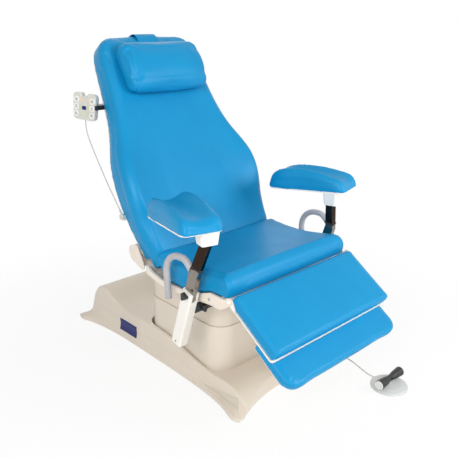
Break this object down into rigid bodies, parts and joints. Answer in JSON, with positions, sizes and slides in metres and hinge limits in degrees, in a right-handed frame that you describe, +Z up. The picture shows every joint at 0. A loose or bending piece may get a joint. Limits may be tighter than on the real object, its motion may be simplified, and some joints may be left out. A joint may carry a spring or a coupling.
{
  "type": "examination table",
  "caption": "Powered donor and examination chair: contoured padded seat, reclining back with pillow, leg rest with sliding foot panel, swivelling arm rests, lifting column and moulded base.",
  "frame": {"origin": "on the floor under the middle of the base", "axes": "+X the way the patient faces, +Y the patient's left, +Z up"},
  "size_m": [1.417, 0.8926, 1.2976],
  "materials": {
    "blue_vinyl": "smooth blue vinyl upholstery, soft sheen",
    "beige_shell": "moulded, fine satin",
    "cream_shell": "moulded, satin",
    "white_coat": "white powder coat",
    "white_plastic": "moulded white",
    "polished_bar": "polished flat bar",
    "grey_tube": "light grey coat",
    "dark_steel": "dark coat",
    "bright_steel": "ground",
    "black_plastic": "moulded black",
    "black_rubber": "moulded rubber",
    "board": "laminated board",
    "handset_shell": "fine matte",
    "key_cap": "pale grey",
    "cord_sheath": "pale grey sheath",
    "switch_shell": "pale grey"
  },
  "bodies": {
    "base": {"base_cover": "beige_shell", "base_chassis": "dark_steel", "levelling_feet": "black_rubber", "column_outer": "bright_steel", "shroud_lower": "beige_shell", "control_box": "black_plastic", "mains_inlet": "black_plastic", "cord_gland": "cord_sheath", "foot_switch_cord": "cord_sheath", "foot_switch_base": "switch_shell"},
    "foot_roller": {"foot_switch_roller": "black_plastic"},
    "seat": {"column_inner": "bright_steel", "lift_head": "dark_steel", "shroud_upper": "beige_shell", "seat_frame": "dark_steel", "seat_cushion": "blue_vinyl", "seat_tray": "cream_shell", "leg_hinge_pins": "bright_steel", "back_drive": "black_plastic", "leg_drive": "black_plastic", "arm_crossbar": "dark_steel", "arm_post_left": "white_coat", "arm_post_right": "white_coat"},
    "back": {"back_frame": "dark_steel", "back_board": "board", "back_cushion": "blue_vinyl", "back_apron": "cream_shell", "pillow_strap": "blue_vinyl", "handset_hook": "black_plastic", "handset_case": "handset_shell", "handset_cord": "cord_sheath", "cord_clip": "handset_shell"},
    "pillow": {"pillow": "blue_vinyl"},
    "back_shoe": {"back_drive_shoe": "bright_steel"},
    "leg": {"leg_board": "white_coat", "leg_cushion": "blue_vinyl"},
    "leg_shoe": {"leg_drive_shoe": "bright_steel"},
    "foot": {"foot_board": "white_coat", "foot_cushion": "blue_vinyl"},
    "key_1": {"handset_key_1": "key_cap"},
    "key_2": {"handset_key_2": "key_cap"},
    "key_3": {"handset_key_3": "key_cap"},
    "key_4": {"handset_key_4": "key_cap"},
    "key_5": {"handset_key_5": "key_cap"},
    "key_6": {"handset_key_6": "key_cap"},
    "arm_left": {"arm_bar_left": "polished_bar", "arm_handle_left": "grey_tube"},
    "pad_left": {"arm_block_left": "white_plastic", "arm_plate_left": "white_plastic", "arm_pad_left": "blue_vinyl"},
    "post_knob_left": {"post_knob_left": "black_plastic"},
    "bracket_knob_left": {"bracket_knob_left": "black_plastic"},
    "arm_right": {"arm_bar_right": "polished_bar", "arm_handle_right": "grey_tube"},
    "pad_right": {"arm_block_right": "white_plastic", "arm_plate_right": "white_plastic", "arm_pad_right": "blue_vinyl"},
    "post_knob_right": {"post_knob_right": "black_plastic"},
    "bracket_knob_right": {"bracket_knob_right": "black_plastic"}
  },
  "joints": [
    {"name": "lift", "type": "slide", "parent": "base", "child": "seat", "axis": [0, 0, 1], "range_m": [-0.02, 0.155]},
    {"name": "back_tilt", "type": "hinge", "parent": "seat", "child": "back", "pos_m": [0.063, 0, 0.44], "axis": [0, -1, 0], "range_deg": [0, 60]},
    {"name": "leg_tilt", "type": "hinge", "parent": "seat", "child": "leg", "pos_m": [0.541, 0, 0.485], "axis": [0, -1, 0], "range_deg": [-22, 35]},
    {"name": "foot_slide", "type": "slide", "parent": "leg", "child": "foot", "axis": [0.8221, 0, -0.5693], "range_m": [-0.01, 0.08]},
    {"name": "pillow_slide", "type": "slide", "parent": "back", "child": "pillow", "axis": [-0.5, 0, 0.866], "range_m": [-0.06, 0.04]},
    {"name": "back_shoe_slide", "type": "slide", "parent": "seat", "child": "back_shoe", "axis": [1, 0, 0], "range_m": [-0.0035, 0.039]},
    {"name": "leg_shoe_slide", "type": "slide", "parent": "seat", "child": "leg_shoe", "axis": [1, 0, 0], "range_m": [-0.016, 0.025]},
    {"name": "foot_switch_rock", "type": "hinge", "parent": "base", "child": "foot_roller", "pos_m": [0.79, 0.305, 0.035], "axis": [0, 1, 0], "range_deg": [-15, 15], "stiffness_Nm_per_rad": 0.8},
    {"name": "arm_height_left", "type": "slide", "parent": "seat", "child": "arm_left", "axis": [0.309, 0, 0.9511], "range_m": [-0.025, 0.08]},
    {"name": "pad_swivel_left", "type": "hinge", "parent": "arm_left", "child": "pad_left", "pos_m": [0.44, 0.328, 0.664], "axis": [0, 0, 1], "range_deg": [-15, 30]},
    {"name": "post_knob_turn_left", "type": "hinge", "parent": "seat", "child": "post_knob_left", "pos_m": [0.39298, 0.383, 0.47423], "axis": [0, 1, 0], "continuous": true},
    {"name": "bracket_knob_turn_left", "type": "hinge", "parent": "seat", "child": "bracket_knob_left", "pos_m": [0.394, 0.308, 0.409], "axis": [1, 0, 0], "continuous": true},
    {"name": "arm_height_right", "type": "slide", "parent": "seat", "child": "arm_right", "axis": [0.309, 0, 0.9511], "range_m": [-0.025, 0.08]},
    {"name": "pad_swivel_right", "type": "hinge", "parent": "arm_right", "child": "pad_right", "pos_m": [0.44, -0.328, 0.664], "axis": [0, 0, -1], "range_deg": [-15, 30]},
    {"name": "post_knob_turn_right", "type": "hinge", "parent": "seat", "child": "post_knob_right", "pos_m": [0.39298, -0.383, 0.47423], "axis": [0, -1, 0], "continuous": true},
    {"name": "bracket_knob_turn_right", "type": "hinge", "parent": "seat", "child": "bracket_knob_right", "pos_m": [0.394, -0.308, 0.409], "axis": [1, 0, 0], "continuous": true},
    {"name": "key_press_1", "type": "slide", "parent": "back", "child": "key_1", "axis": [-0.4384, 0.8988, 0], "range_m": [0, 0.001], "stiffness_N_per_m": 400, "springref_m": -0.0005},
    {"name": "key_press_2", "type": "slide", "parent": "back", "child": "key_2", "axis": [-0.4384, 0.8988, 0], "range_m": [0, 0.001], "stiffness_N_per_m": 400, "springref_m": -0.0005},
    {"name": "key_press_3", "type": "slide", "parent": "back", "child": "key_3", "axis": [-0.4384, 0.8988, 0], "range_m": [0, 0.001], "stiffness_N_per_m": 400, "springref_m": -0.0005},
    {"name": "key_press_4", "type": "slide", "parent": "back", "child": "key_4", "axis": [-0.4384, 0.8988, 0], "range_m": [0, 0.001], "stiffness_N_per_m": 400, "springref_m": -0.0005},
    {"name": "key_press_5", "type": "slide", "parent": "back", "child": "key_5", "axis": [-0.4384, 0.8988, 0], "range_m": [0, 0.001], "stiffness_N_per_m": 400, "springref_m": -0.0005},
    {"name": "key_press_6", "type": "slide", "parent": "back", "child": "key_6", "axis": [-0.4384, 0.8988, 0], "range_m": [0, 0.001], "stiffness_N_per_m": 400, "springref_m": -0.0005}
  ],
  "couplings": [
    {"joint": "back_shoe_slide", "follows": "back_tilt", "m_per_rad": 0.036669},
    {"joint": "leg_shoe_slide", "follows": "leg_tilt", "m_per_rad": 0.040279}
  ]
}
